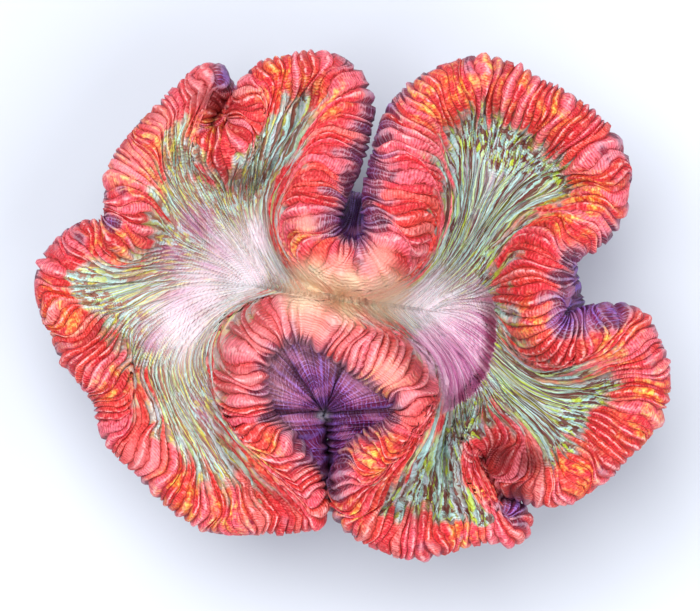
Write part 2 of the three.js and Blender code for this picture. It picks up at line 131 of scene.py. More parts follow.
FLOOR, BOWL_RISE, BOWL_RADIUS = 20, 3.5, 30
SADDLE, SADDLE_RADIUS, SADDLE_RISE = np.array([-1.2, 1.0]), 6, 10
DISC, DISC_RADII, DISC_DEPTH = np.array([8, -3]), np.array([9.3, 10.4]), 1.5
DISC_SHARP_SIDE = math.radians(-50)
SLOPE_PER_OVERHANG, SLOPE_MIN, SLOPE_MAX_SHARE = 1.6, 2.5, 1.2
ROLL_POWER, ROLL_FOOT = 3.5, 4
BAND_WIDTH, BAND_SHARE = 5.0, 0.5  # how far in the pleats stay square to the crest
LIP_TURN = math.radians(125)
LIP_HEIGHT_PER_OVERHANG, LIP_HEIGHT_MIN, LIP_MAX_BEND = 1.2, 0.6, 0.75
SKIRT_HEIGHT, SKIRT_SCALE, SKIRT_FADE = 19, 0.93, 0.03
FOOT_SCALE, FOOT_FADE, TUCK_POWER = 0.42, 1.5, 1.6

# Folds whose walls lean in until they nearly meet below the lip: where each starts and ends on
# the crest, the two ends of the line that its walls lean to, how early they do, how late they
# drop, and how high the flesh bulges between them.
CLOSED_FOLDS = [
    ((0.9, -25.6), (-5.9, -25.4), (-3.4, -12.5), (-2.5, -25.0), 3, 1.7, 0),
    ((-17.8, 26.2), (-10.6, 26.6), (-15.3, 22.3), (-14.6, 26.4), 4, 4, 2.5),
    ((23.3, -21.7), (19.1, -26.2), (16.2, -19.6), (20.6, -23.6), 4, 4, 2.0),
]
CLOSED_SHARE, CLOSED_EDGE = 1.01, 2.5

# Rings of the mesh: how many, and how many columns each has for every pleat.
COLUMNS_PER_PLEAT = 5
SLOPE_RINGS, VALLEY_RINGS, BASIN_RINGS = 16, 14, 14
LIP_RINGS, WALL_RINGS, FOOT_RINGS = 12, 12, 12
FIRST_STEP = 0.42

rng = np.random.default_rng(11)


def smooth(value, start, end):
    part = np.clip((value - start) / (end - start), 0, 1)
    return part * part * (3 - 2 * part)


def closed_spline(knots, per_span):
    """A closed centripetal Catmull-Rom curve through the knots."""
    p0, p1, p2, p3 = (np.roll(knots, shift, 0)[:, None] for shift in (1, 0, -1, -2))
    gap = lambda a, b: np.sqrt(np.linalg.norm(b - a, axis=2, keepdims=True))
    t1 = gap(p0, p1)
    t2 = t1 + gap(p1, p2)
    t3 = t2 + gap(p2, p3)
    t = t1 + (t2 - t1) * (np.arange(per_span) / per_span)[None, :, None]
    a1 = p0 + (p1 - p0) * t / t1
    a2 = p1 + (p2 - p1) * (t - t1) / (t2 - t1)
    a3 = p2 + (p3 - p2) * (t - t2) / (t3 - t2)
    b1 = a1 + (a2 - a1) * t / t2
    b2 = a2 + (a3 - a2) * (t - t1) / (t3 - t1)
    return (b1 + (b2 - b1) * (t - t1) / (t2 - t1)).reshape(-1, knots.shape[1])


PER_SPAN = 48
crest = closed_spline(RIM[:, :3], PER_SPAN)
crest = np.vstack([crest, crest[:1]])
crest_reached = np.r_[0, np.cumsum(np.linalg.norm(np.diff(crest, axis=0), axis=1))]
crest_length = crest_reached[-1]
crest_overhang = np.interp(np.arange(len(crest)) / PER_SPAN, np.arange(len(RIM) + 1),
                           np.append(RIM[:, 3], RIM[0, 3]))


def on_crest(turn):
    """Points of the crest at shares of the way round it."""
    reached = np.mod(turn, 1) * crest_length
    return np.stack([np.interp(reached, crest_reached, crest[:, axis]) for axis in range(3)], 1)


def outwards(turn):
    """Unit directions in plan that point out of the coral, square to the crest."""
    along = (on_crest(turn + 1 / STATIONS) - on_crest(turn - 1 / STATIONS))[:, :2]
    return np.stack([-along[:, 1], along[:, 0]], 1) / np.linalg.norm(along, axis=1)[:, None]


def between(rows, turn):
    """Values at shares of the way round, on a smooth curve through those of even stations."""
    place = np.mod(turn, 1) * len(rows)
    index = np.floor(place).astype(int)
    part = (place - index).reshape((-1,) + (1,) * (rows.ndim - 1))
    a, b, c, d = (rows[(index + step) % len(rows)] for step in (-1, 0, 1, 2))
    cubic = 2 * a - 5 * b + 4 * c - d + part * (3 * (b - c) + d - a)
    return b + 0.5 * part * (c - a + part * cubic)


station_turn = np.arange(STATIONS) / STATIONS
stations = on_crest(station_turn)
station_out = outwards(station_turn)
overhang = np.interp(station_turn * crest_length, crest_reached, crest_overhang)
along = (np.roll(stations, -1, 0) - np.roll(stations, 1, 0))[:, :2]
before, after = np.roll(station_out, 1, 0), np.roll(station_out, -1, 0)
bend = (before[:, 0] * after[:, 1] - before[:, 1] * after[:, 0]) / np.linalg.norm(along, axis=1)
limit = np.where(bend > 0, LIP_MAX_BEND / np.maximum(bend, 1e-9), np.inf)
overhang = np.minimum(overhang, limit)
overhang = (np.roll(overhang, 1) + overhang + np.roll(overhang, -1)) / 3


# The band inside the crest in which the pleats stay square to it: at most half of what is free.
gap = stations[None, :, :2] - stations[:, None, :2]
ahead = -(gap * station_out[:, None]).sum(2)
free = np.where(ahead > 1e-6, (gap ** 2).sum(2) / (2 * np.maximum(ahead, 1e-9)), np.inf).min(1)
band_width = np.minimum(BAND_WIDTH, BAND_SHARE * free)
for _ in range(3):
    band_width = np.minimum(band_width, (np.roll(band_width, 1) + np.roll(band_width, -1)) / 2)
for _ in range(4):
    band_width = (np.roll(band_width, 1) + 2 * band_width + np.roll(band_width, -1)) / 4
band_end = stations[:, :2] - station_out * band_width[:, None]


def settled_net(rim):
    """Lines from the slit to the rim that keep an even spread and never cross, however deep
    the folds: a grid settled by the inverse Laplace equations."""
    nearest = [int(np.argmin(np.hypot(*(stations[:, :2] - (x, y)).T))) for x, y, _ in FACING]
    place = (np.arange(STATIONS) - nearest[0]) % STATIONS
    knots = [(near - nearest[0]) % STATIONS for near in nearest] + [STATIONS]
    even = FACING[0][2] - 360 * place / STATIONS
    drift = np.interp(place, knots, [angle for *_, angle in FACING] + [FACING[0][2] - 360]) - even
    for _ in range(round(0.6 * STATIONS)):
        drift = 0.5 * drift + 0.25 * (np.roll(drift, 1) + np.roll(drift, -1))
    angle = np.radians(even + drift)
    long_way = np.array([math.cos(MOUTH_TURN), math.sin(MOUTH_TURN)])
    short_way = np.array([-math.sin(MOUTH_TURN), math.cos(MOUTH_TURN)])
    slit = MOUTH + MOUTH_HALF[0] * np.cos(angle)[:, None] * long_way
    slit = slit + MOUTH_HALF[1] * np.sin(angle)[:, None] * short_way
    part = (1 - np.exp(-NET_CROWDING * np.arange(NET_ROWS + 1) / NET_ROWS))
    part = (part / part[-1])[None, :, None]
    net = slit[:, None] * (1 - part) + rim[:, None] * part
    pull = NET_CROWDING / NET_ROWS
    for _ in range(3000):
        left, right = np.roll(net, 1, 0), np.roll(net, -1, 0)
        around = (right - left)[:, 1:-1] / 2
        upwards = (net[:, 2:] - net[:, :-2]) / 2
        a = (upwards ** 2).sum(2, keepdims=True)
        b = (around * upwards).sum(2, keepdims=True)
        c = (around ** 2).sum(2, keepdims=True)
        twist = (right[:, 2:] - right[:, :-2] - left[:, 2:] + left[:, :-2]) / 4
        ends = net[:, 2:] + net[:, :-2] + pull * upwards
        settled = (a * (left + right)[:, 1:-1] + c * ends - 2 * b * twist) / (2 * (a + c))
        net[:, 1:-1] += 0.8 * (settled - net[:, 1:-1])
    return net[:, ::-1]


def even_steps(line, count):
    """A line of points again, in count even steps."""
    reached = np.r_[0, np.cumsum(np.linalg.norm(np.diff(line, axis=0), axis=1))]
    at = np.linspace(0, reached[-1], count + 1)
    return np.column_stack([np.interp(at, reached, line[:, 0]), np.interp(at, reached, line[:, 1])])


LINE_STEPS = 80
net = settled_net(band_end)
net = np.concatenate([stations[:, None, :2], net], axis=1)
net = np.array([even_steps(line, LINE_STEPS) for line in net])
for _ in range(90):
    net[:, 2:-1] = (net[:, 1:-2] + 2 * net[:, 2:-1] + net[:, 3:]) / 4
net_length = np.linalg.norm(np.diff(net, axis=1), axis=2).sum(1)
slope_width = np.minimum(SLOPE_PER_OVERHANG * overhang + SLOPE_MIN, SLOPE_MAX_SHARE * net_length)


def round_disc(xy):
    """How far points are from the mouth disc's middle, 1 at its edge, and on which side."""
    away = xy - DISC
    return np.linalg.norm(away / DISC_RADII, axis=1), np.arctan2(away[:, 1], away[:, 0])


def floor_height(xy):
    away = np.linalg.norm(xy - MOUTH, axis=1) / BOWL_RADIUS
    disc, side = round_disc(xy)
    sharp = smooth(np.cos(side - DISC_SHARP_SIDE), -0.2, 0.6)
    edge = 0.6 - 0.48 * sharp
    sunk = 1 - smooth(disc, 1 - edge, 1)
    saddle = np.exp(-((xy - SADDLE) ** 2).sum(1) / SADDLE_RADIUS ** 2)
    return FLOOR + BOWL_RISE * away ** 2 + SADDLE_RISE * saddle - (DISC_DEPTH + 0.6 * sharp) * sunk


RIM_PARTS = 512
part_turn = np.arange(RIM_PARTS) / RIM_PARTS
part_start = on_crest(part_turn)
part_run = np.roll(part_start, -1, 0) - part_start
part_slope = between(slope_width, part_turn)
part_rise = part_start[:, 2] - floor_height(part_start[:, :2])


def valley_height(xy):
    """The floor, with the rim on it as a full roll. Gives the distance from the crest too."""
    rises = np.empty(len(xy))
    from_crest = np.empty(len(xy))
    for first in range(0, len(xy), 4000):
        some = xy[first:first + 4000]
        gap = some[:, None] - part_start[None, :, :2]
        run = part_run[:, :2]
        part = np.clip((gap * run).sum(2) / (run ** 2).sum(1), 0, 1)
        away = np.linalg.norm(gap - part[:, :, None] * run, axis=2)
        slope = part_slope + part * (np.roll(part_slope, -1) - part_slope)
        rise = part_rise + part * (np.roll(part_rise, -1) - part_rise)
        weight = 1 / (away + 0.05) ** 4
        nearest = np.minimum((away / slope).min(1), 1)
        roll = (1 - nearest ** ROLL_POWER) ** ROLL_FOOT
        rises[first:first + 4000] = (weight * rise).sum(1) / weight.sum(1) * roll
        from_crest[first:first + 4000] = away.min(1)
    return floor_height(xy) + rises, from_crest


# Where each pleat starts on the crest. The columns of the mesh follow the pleats.
widths = 1 + PLEAT_UNEVENNESS * rng.standard_normal(PLEATS).clip(-1.8, 2.2)
middles = on_crest((np.arange(PLEATS) + 0.5) / PLEATS)
for x, y, wider in BROAD_PLEATS:
    widths[np.argmin(np.hypot(middles[:, 0] - x, middles[:, 1] - y))] = wider
starts = np.r_[0, np.cumsum(widths)] / widths.sum()
pleat_size = rng.uniform(0.55, 1.35, PLEATS) * np.sqrt(widths)
pleat_tint = rng.random(PLEATS)
pleat_reach = rng.uniform(-1, 1, PLEATS)
pleat_lean = rng.uniform(-1, 1, PLEATS)
pleat_split = 0.55 * (rng.random(PLEATS) < 0.35)
pleat_beads = rng.uniform(2.2, 6.0, PLEATS)
pleat_phase = rng.uniform(0, 2 * math.pi, PLEATS)
broad = smooth(widths, 1.55, 1.7)
pleat_tint[broad > 0.5] = 0.1

COLUMNS = PLEATS * COLUMNS_PER_PLEAT
column = np.arange(COLUMNS)
column_pleat = column / COLUMNS_PER_PLEAT
part = column_pleat % 1
leaning = 0.16 * pleat_lean[column // COLUMNS_PER_PLEAT] * np.sin(np.pi * part)
turn = np.interp(column_pleat + leaning, np.arange(PLEATS + 1), starts)


def of_pleat(values):
    """A value of each pleat given to its columns, and halfway in the grooves between pleats."""
    own = values[column // COLUMNS_PER_PLEAT]
    last = values[column // COLUMNS_PER_PLEAT - 1]
    return np.where(column % COLUMNS_PER_PLEAT == 0, (own + last) / 2, own)


column_crest = on_crest(turn)
column_overhang = between(overhang, turn)
column_size = of_pleat(pleat_size)
column_tint = of_pleat(pleat_tint)
column_reach = of_pleat(np.repeat(pleat_reach[::2], 2))
column_far_reach = of_pleat(np.repeat(pleat_reach[1::4], 4))
column_lone_reach = of_pleat(pleat_reach)
column_split = of_pleat(pleat_split)
column_beads = 2 * math.pi / of_pleat(pleat_beads)
column_phase = of_pleat(pleat_phase)

# The pleats meander: how far they swing along the crest at a distance from it, in shares of it.
SWINGS = [(rng.integers(28, 90), rng.uniform(4, 9), rng.uniform(0, 2 * math.pi)) for _ in range(7)]
SWING = 0.17


def meander(turn, inward):
    swing = sum(np.sin(2 * math.pi * (waves * turn + inward / length) + phase)
                for waves, length, phase in SWINGS)
    return turn + SWING * swing / crest_length

# Smooth water-filled blisters on the tips of the two deep folds: x, y, radius.
BLISTERS = np.array([
    (-4.6, -2.2, 2.2), (4, -8.2, 1.9), (3, 5.6, 1.9), (-1.6, 4.8, 1.4), (-5.6, 9.6, 1.3),
])
# Places where the rim turns orange and yellow.
GOLD = np.array([
    (8.6, 24.2, 2.4), (12.7, 26.3, 2), (16, 28, 1.8), (19.3, 25.8, 1.8), (24.2, 23.2, 1.9),
    (27.8, 12.6, 2.6), (25.2, 10.4, 2.2), (35.2, -10.8, 2.4), (30.7, -4.2, 2.2), (26.2, -19.8, 2.2),
    (20.6, -1.8, 1.8), (14.6, -22, 1.4), (2.4, -17.2, 2.4), (-0.4, -24.6, 1.4), (3.2, -8.4, 2),
    (-15, -24.9, 2.2), (-18.8, -23.6, 2), (-21.6, -21.2, 1.8), (-28.3, -8.9, 1.9),
    (-34.7, -1.8, 1.9), (-35.9, 0.8, 1.6), (-29.2, 7.7, 1.8), (-28, 7.7, 1.6), (-23.6, 19.8, 2.4),
    (-27, 15.6, 1.9), (-25.3, 14.7, 2.2), (-17.3, 20.6, 1.8), (-8.3, 26.5, 2.4),
    (-2.9, 24.4, 1.8), (-6.2, 7.4, 1.7), (33.6, -14.2, 1.8), (13, -27, 1.8),
    (-10.4, -17.2, 1.6),
])
# Places where the valley is ochre, mauve and nearly white, the white partly pale flesh and
# partly a painted glow of light.
OCHRE = np.array([(-5.2, 1.9, 3.6), (-1, 1.2, 3.4), (3.8, 1, 3.4)])
MAUVE = np.array([
    (-18.9, 9.8, 2.6), (-16.6, 5.6, 2.4), (-15.8, -11.4, 3.2), (-20, 1, 3), (-22, 5.6, 2.5),
    (-9.5, 8.6, 2.2), (-24.5, -3.5, 2.2), (12.4, -7.2, 4.4), (7.6, -6.6, 3.2),
])
WHITE = np.array([
    (9.2, 0.4, 4.2), (-12.5, 3.5, 5.6), (-14.4, -6, 3.2), (-20.4, -2, 4.4),
    (-10.8, -1, 3), (-17.5, 1.5, 4), (-11.2, 8, 3.2),
])
# Places where a curl is filled with red flesh, below the crest too.
CURLS = np.array([(-14.2, 22.8, 3.9), (17.4, -19.9, 3.6)])
# Places where the red band is narrow and the slope begins close to the crest.
NARROW = np.array([
    (11.2, -18.4, 3.6), (12.6, -22.6, 3.6), (15.6, -25, 1.8), (14, -15, 2),
    (-9.4, 19.4, 3.2), (-12, 17, 2.4), (-20.2, 19.6, 3.4), (-31.4, 3, 3),
])
NARROW_SHIFT = 5
# Places where some pleats stay red far down the slope.
STREAKED = np.array([
    (27, 16.6, 3.8), (23, 20.4, 3.4), (27.6, 12.4, 2.6), (31.4, -9.4, 3.4), (29.6, -14, 3.4),
    (18.6, 22.6, 2.6), (-28, -1.6, 2.4), (-30, 12, 2.4), (-13, -20.6, 2.4),
])
STREAK_SHIFT = 5
# Places where the violet net of the outside comes up over the crest.
OUTER = np.array([
    (24.6, -1.6, 2.5), (28, -1.4, 2), (31, -1, 1.8), (-15.4, 27, 1.6), (19, -24, 1.8),
    (-28.8, 9.8, 1.3),
])
OUTER_SHIFT = 7
# Places on the curls with maroon streaks.
MAROON = np.array([(17.4, -17.6, 2.8), (20.8, -18.4, 2.4), (19.4, -21.8, 1.8), (-16.6, 24.4, 2)])
# Places where the rim is salmon pink.
SALMON = np.array([
    (-6.4, -2.4, 3.4), (-1, -4, 3.2), (3.6, -7.6, 3.4), (6.2, -11.4, 2.4), (-10.8, -4.8, 2.8),
    (-12.2, -9.2, 2.2), (-26.6, 16.8, 2.6), (-22.6, 21.8, 2.2), (-18.2, 26, 2.2),
    (-24.8, -18, 2.4),
])
# Where the inside of the deep bottom fold is rosy grey.
ROSY = np.array([
    (-9.6, -5.6, 3.4), (-9.4, -9.6, 2.6), (-5.6, -4.6, 2.4), (-1.2, -6.4, 2.2), (1.8, -8.6, 2),
    (-8.6, -14.4, 2),
])
# Where the deep bottom fold closes on a pale knot of flesh, and the creases that run in to it,
# sunk and darkened with painted shade: their ends and half widths.
KNOT = np.array([(-3.5, -13, 0.75)])
CREASES = [
    ((-3.4, -12.6), (4.6, -12.3), 0.55), ((-3.4, -12.6), (-9.6, -12.6), 0.4),
    ((-3.4, -12.6), (-8.6, -5.4), 0.35), ((-3, -13.4), (-2.5, -25), 0.5),
    ((-3.4, -12.4), (-1.4, -7), 0.3),
]


def in_places(points, places, power=4):
    """1 in the middle of any round place, falling to nothing outside it."""
    away = np.hypot(points[:, None, 0] - places[:, 0], points[:, None, 1] - places[:, 1])
    return np.exp(-1.2 * (away / places[:, 2]) ** power).max(axis=1)


def in_creases(points):
    """1 along the middle of any crease, falling to nothing beside it."""
    share = np.zeros(len(points))
    for start, end, half_width in CREASES:
        line = np.subtract(end, start)
        part = np.clip((points[:, :2] - start) @ line / (line @ line), 0, 1)
        away = np.linalg.norm(points[:, :2] - start - part[:, None] * line, axis=1)
        share = np.maximum(share, np.exp(-(away / half_width) ** 2) * (1 - 0.3 * part))
    return share


rings = []
in_fold = smooth(column_crest[:, 2], 28.5, 32.5)
# On the lobes the red band of the rim ends sooner on the inside and goes further down outside.
LOBE_BAND, LOBE_SHIFT = 1.2, 2.4
# The curls are coloured as if they were this far in from the crest.
CURL_BAND = 0.8
# The side of the mouth disc where it steps down, whose edge is darkened with painted shade.
SHADED_EDGE_SIDE = math.radians(-20)
# How much the beads raise the pleats, how much of the pleats the ochre, the white and the
# blisters take away, how high a blister stands and how deep a crease is.
BEADED, OCHRE_SMOOTH, WHITE_SMOOTH, BLISTER_SMOOTH = 0.3, 0.85, 0.7, 0.85
BLISTER_HEIGHT, CREASE_DEPTH = 0.35, 1.2


def add_ring(points, every, inward, lift, pairs, fours, bare=0.0):
    """Keeps one ring of the mesh, with what its pleats and colours need at each point."""
    pick = slice(None, None, every)
    lift = lift * (1 + BEADED * np.sin(column_beads[pick] * inward + column_phase[pick]))
    spread = lambda value: np.broadcast_to(value, len(points)).astype(float)
    inward, lift, pairs, fours, bare = map(spread, (inward, lift, pairs, fours, bare))
    on_lobe = 1 - in_fold[pick]
    depth = np.where(inward > 0, inward * (1 + (LOBE_BAND - 1) * on_lobe),
                     inward + LOBE_SHIFT * on_lobe * smooth(-inward, 0, 2))
    depth = depth + NARROW_SHIFT * in_places(points, NARROW) * smooth(inward, 0, 1.5)
    streaked = STREAK_SHIFT * smooth(column_lone_reach[pick], 0.0, 0.6)
    depth = depth - streaked * in_places(points, STREAKED, 2) * smooth(inward, 1, 4)
    curl = in_places(points, CURLS) * (inward < 0)
    depth = depth + (CURL_BAND - depth) * curl - OUTER_SHIFT * in_places(points, OUTER, 2)
    ochre, white = in_places(points, OCHRE), in_places(points, WHITE, 2)
    lift = lift * (1 - OCHRE_SMOOTH * ochre) * (1 - WHITE_SMOOTH * white)
    blister = in_places(points, BLISTERS) * smooth(inward, -4.0, -1.5)
    blister = blister * (1 - smooth(inward, 4.5, 6.5))
    tall = points + 0.0
    tall[:, 2] += BLISTER_HEIGHT * blister
    crease = in_creases(points) * smooth(-inward, 2, 3.5) * smooth(points[:, 2], 16, 19)
    tall[:, 2] -= CREASE_DEPTH * crease
    from_disc, side = round_disc(points[:, :2])
    valley = smooth(inward, 3.5, 4.6)
    disc = valley * smooth(np.cos(side - DISC_SHARP_SIDE), -0.3, 0.6)
    edge = valley * smooth(np.cos(side - SHADED_EDGE_SIDE), 0.5, 0.9)
    rings.append({
        "points": tall, "inward": inward, "depth": depth, "pleat": column_pleat[pick],
        "lift": lift * (1 - BLISTER_SMOOTH * blister), "pairs": pairs, "fours": fours,
        "split": column_split[pick] * (1 - pairs), "tint": column_tint[pick],
        "reach": column_lone_reach[pick], "bare": bare, "blister": blister, "disc": disc,
        "edge": edge, "from_disc": from_disc, "gold": in_places(points, GOLD * (1, 1, 1.3), 2),
        "ochre": ochre, "white": white, "mauve": in_places(points, MAUVE),
        "maroon": in_places(points, MAROON, 2),
        "salmon": in_places(points, SALMON, 2) * smooth(inward, -3.5, -1.5),
        "knot": in_places(points, KNOT) * (inward < 0), "crease": crease,
        "rosy": in_places(points, ROSY, 2) * smooth(-inward, 2, 3.5),
        "pale": smooth(-points[:, 0], 2, 14),
    })


# The valley, from the crest down the slope and in to the mouth.
line_length = between(net_length, turn)
basin_start = SLOPE_RINGS + VALLEY_RINGS
all_rings = basin_start + BASIN_RINGS
rates = np.linspace(0.001, 6, 600)
first_share = rates / (np.exp(rates) - 1)
rate = np.interp(FIRST_STEP * all_rings / line_length, first_share[::-1], rates[::-1])

# How tall the pleats are: by mm in from the crest, by the lip's turn, and further down.
SLOPE_PLEATS = [0, 3, 7, 13, 18], [1.0, 0.95, 0.75, 0.45, 0.2]
LIP_PLEATS = [0, 0.8, LIP_TURN], [1.0, 0.9, 0.6]
WALL_PLEATS, FOOT_PLEATS, FOOT_FLATTER = 0.6, 0.5, 0.25

for ring in range(all_rings + 1):
    every = 1 if ring < SLOPE_RINGS else 2 if ring < basin_start else 4
    own = column[::every]
    share = (np.exp(rate[own] * ring / all_rings) - 1) / (np.exp(rate[own]) - 1)
    swung = meander(turn[own], share * line_length[own])
    lines = between(net, swung)
    lines[:, 0] = on_crest(swung)[:, :2]
    place = share * LINE_STEPS
    index = np.minimum(place.astype(int), LINE_STEPS - 1)
    part = (place - index)[:, None]
    row = np.arange(len(own))
    xy = lines[row, index] * (1 - part) + lines[row, index + 1] * part
    z, inward = valley_height(xy)
    if ring == 0:
        z = on_crest(swung)[:, 2]
    size = np.interp(inward, *SLOPE_PLEATS)
    pitch = np.linalg.norm(np.roll(xy, -1, 0) - np.roll(xy, 1, 0), axis=1) / 2
    pitch /= every * crest_length / COLUMNS
    pairs = 1 - smooth(pitch + 0.08 * column_reach[own], 0.42, 0.68)
    pairs = np.maximum(pairs, smooth(ring, basin_start - 8, basin_start))
    fours = 1 - smooth(pitch + 0.04 * column_far_reach[own], 0.2, 0.34)
    crowded = np.clip(1.3 * pitch * (1 + pairs + 2 * fours), 0, 1)
    add_ring(np.column_stack([xy, z]), every, inward * 4 / (2.6 + 0.5 * column_overhang[own]),
             size * crowded * (0.45 + 0.55 * column_size[own]), pairs, fours)
valley_rings = rings[::-1]

# The lip, which rolls over outwards from the crest and curls under.
rings = []
lip_height = LIP_HEIGHT_PER_OVERHANG * column_overhang + LIP_HEIGHT_MIN
for ring in range(1, LIP_RINGS + 1):
    angle = LIP_TURN * ring / LIP_RINGS
    inward = -angle * (column_overhang + lip_height) / 2
    swung = meander(turn, inward)
    out = (between(overhang, swung) * math.sin(angle))[:, None]
    top = on_crest(swung)
    z = top[:, 2] - lip_height * (1 - math.cos(angle))
    size = column_size * np.interp(angle, *LIP_PLEATS)
    add_ring(np.column_stack([top[:, :2] + outwards(swung) * out, z]), 1, inward, size, 0, 0)

# The wall under the lip: down to the skirt its flesh closes the folds, and below that they die
# out, the shortest waves of the outline first, and it draws in to the cut.
station_lip = stations[:, :2] + station_out * (overhang * math.sin(LIP_TURN))[:, None]
waves = np.fft.fft(station_lip[:, 0] + 1j * station_lip[:, 1]) / STATIONS
wave_number = np.fft.fftfreq(STATIONS, 1 / STATIONS)


def wall_ring(fade, scale, at, heights):
    keep = scale * np.where(np.abs(wave_number) > 1, np.exp(-fade * wave_number ** 2), 1)
    keep[0] = 1
    around = np.exp(2j * np.pi * np.outer(at, wave_number)) @ (waves * keep)
    return np.column_stack([around.real, around.imag, heights])


def close_folds(ring, lip, at, share, let_go=0.0):
    """A ring of the wall with the walls of the closed folds leaning in to their middle lines,
    each point to the place on the line beside its own lip. They drop late."""
    reached = np.mod(at, 1) * crest_length
    ring = ring.copy()
    for start, end, near, far, early, late, bulge in CLOSED_FOLDS:
        first, last = (crest_reached[np.argmin(np.hypot(crest[:, 0] - x, crest[:, 1] - y))]
                       for x, y in (start, end))
        inside = (smooth(reached, first - CLOSED_EDGE, first + CLOSED_EDGE)
                  * (1 - smooth(reached, last - CLOSED_EDGE, last + CLOSED_EDGE)))
        line = np.subtract(far, near)
        part = np.clip((lip[:, :2] - near) @ line / (line @ line), 0, 1)
        lean = CLOSED_SHARE * inside * (1 - (1 - share) ** early) * (1 - let_go) ** 3
        ring[:, :2] += lean[:, None] * (near + part[:, None] * line - ring[:, :2])
        ring[:, 2] += inside * (share - share ** late) * (lip[:, 2] - SKIRT_HEIGHT)
        ring[:, 2] += inside * bulge * (1 - (1 - share) ** early) * (1 - share ** late)
    return ring


own = column[::2]
lip_end = rings[-1]["points"][::2]
inward = rings[-1]["inward"][::2]
swung = meander(turn[own], inward)
last = lip_end
for ring in range(1, WALL_RINGS + 1):
    share = ring / WALL_RINGS
    heights = lip_end[:, 2] + (SKIRT_HEIGHT - lip_end[:, 2]) * share
    points = wall_ring(SKIRT_FADE * share ** 2, 1 + (SKIRT_SCALE - 1) * share, swung, heights)
    points = close_folds(points, lip_end, swung, share)
    inward = inward - np.linalg.norm(points - last, axis=1)
    add_ring(points, 2, inward, WALL_PLEATS * column_size[own], smooth(share, 0, 0.5), 0)
    last = points

inward = inward[::2]
own = column[::4]
last = last[::2]
for ring in range(1, FOOT_RINGS + 1):
    share = ring / FOOT_RINGS
    fade = SKIRT_FADE * (FOOT_FADE / SKIRT_FADE) ** share
    scale = FOOT_SCALE + (SKIRT_SCALE - FOOT_SCALE) * (1 - share) ** TUCK_POWER
    points = wall_ring(fade, scale, swung[::2], np.full(len(own), SKIRT_HEIGHT * (1 - share)))
    points = close_folds(points, lip_end[::2], swung[::2], 1, share)
    inward = inward - np.linalg.norm(points - last, axis=1)
    add_ring(points, 4, inward, FOOT_PLEATS - FOOT_FLATTER * smooth(share, 0.3, 1.0),
             1, smooth(share, 0.1, 0.5), smooth(share, 0.5, 0.62))
    last = points
rings[-1]["lift"][:] = 0

# The flat cut, in to its middle.
foot = rings[-1]["points"]
centre = foot.mean(0)
for part in (0.96, 0.7, 0.4, 0.15):
    add_ring(centre + (foot - centre) * part, 4, np.full(len(foot), -60.0), 0, 1, 1, 1)
rings = valley_rings + rings


def ring_faces(first, second):
    """Faces between two rings: quads, or three triangles for two of them where columns halve."""
    n, m = len(first), len(second)
    if n < m:
        return [face[::-1] for face in ring_faces(second, first)]
    i = np.arange(m)
    after = (i + 1) % m
    if n == m:
        return np.column_stack([first[i], first[after], second[after], second[i]]).tolist()
    j, k, l = 2 * i, 2 * i + 1, (2 * i + 2) % n
    return (np.column_stack([first[j], first[k], second[i]]).tolist()
            + np.column_stack([first[k], second[after], second[i]]).tolist()
            + np.column_stack([first[k], first[l], second[after]]).tolist())


faces = []
numbers = []
count = 0
for ring in rings:
    numbers.append(count + np.arange(len(ring["points"])))
    count += len(ring["points"])
for first, second in zip(numbers, numbers[1:]):
    faces += ring_faces(first, second)
last = numbers[-1].tolist()
faces += [[last[i], last[(i + 1) % len(last)], count] for i in range(len(last))]

# The slit of the mouth is sewn shut from end to end.
slit_points = rings[0]["points"]
slit_along = slit_points[:, 0] * math.cos(MOUTH_TURN) + slit_points[:, 1] * math.sin(MOUTH_TURN)
size = len(slit_points)
near = far = int(np.argmin(slit_along))
while (far + 1) % size != (near - 1) % size:
    far_next, near_next = (far + 1) % size, (near - 1) % size
    if far == near or slit_along[far_next] < slit_along[near_next]:
        if far != near:
            faces.append([near, far_next, far])
        far = far_next
    else:
        faces.append([near, near_next, far])
        near = near_next
faces.append([near, (far + 1) % size, far])

points = np.vstack([ring["points"] for ring in rings] + [centre[None]])
# The coral is centred by the box of the CAD coral's lip.
cad_lip = np.vstack([
    stations[:, :2] + station_out * (overhang * math.sin(LIP_TURN * k / 4))[:, None]
    for k in range(5)])
middle = (cad_lip.min(0) + cad_lip.max(0)) / 2
points[:, :2] -= middle

flesh_mesh = bpy.data.meshes.new("flesh")
flesh_mesh.from_pydata((points * MM).tolist(), [], faces)
flesh_mesh.shade_smooth()
surface_values = [name for name in rings[0] if name != "points"]
for name in surface_values:
    values = np.concatenate([ring[name] for ring in rings] + [[rings[-1][name][0]]])
    flesh_mesh.attributes.new(name, "FLOAT", "POINT").data.foreach_set("value", values)
flesh = bpy.data.objects.new("flesh", flesh_mesh)
bpy.context.collection.objects.link(flesh)


def linear(code):
    """The linear colour of an sRGB hex value."""
    parts = [int(code[k:k + 2], 16) / 255 for k in (1, 3, 5)]
    return [p / 12.92 if p <= 0.04045 else ((p + 0.055) / 1.055) ** 2.4 for p in parts] + [1]


def add(tree, kind, inputs=None, stops=(), **settings):
    """Adds a node, makes its settings and a colour ramp's stops, and sets or links its inputs.
    Gives its first output."""
    made = tree.nodes.new(kind)
    for name, value in settings.items():
        setattr(made, name, value)
    if stops:
        elements = made.color_ramp.elements
        elements[0].position, elements[1].position = stops[0][0], stops[-1][0]
        for at, _ in stops[1:-1]:
            elements.new(at)
        for element, (_, code) in zip(elements, stops):
            element.color = linear(code)
    for key, value in (inputs or {}).items():
        if isinstance(value, bpy.types.NodeSocket):
            tree.links.new(value, made.inputs[key])
        else:
            made.inputs[key].default_value = value
    return next(output for output in made.outputs if output.enabled)


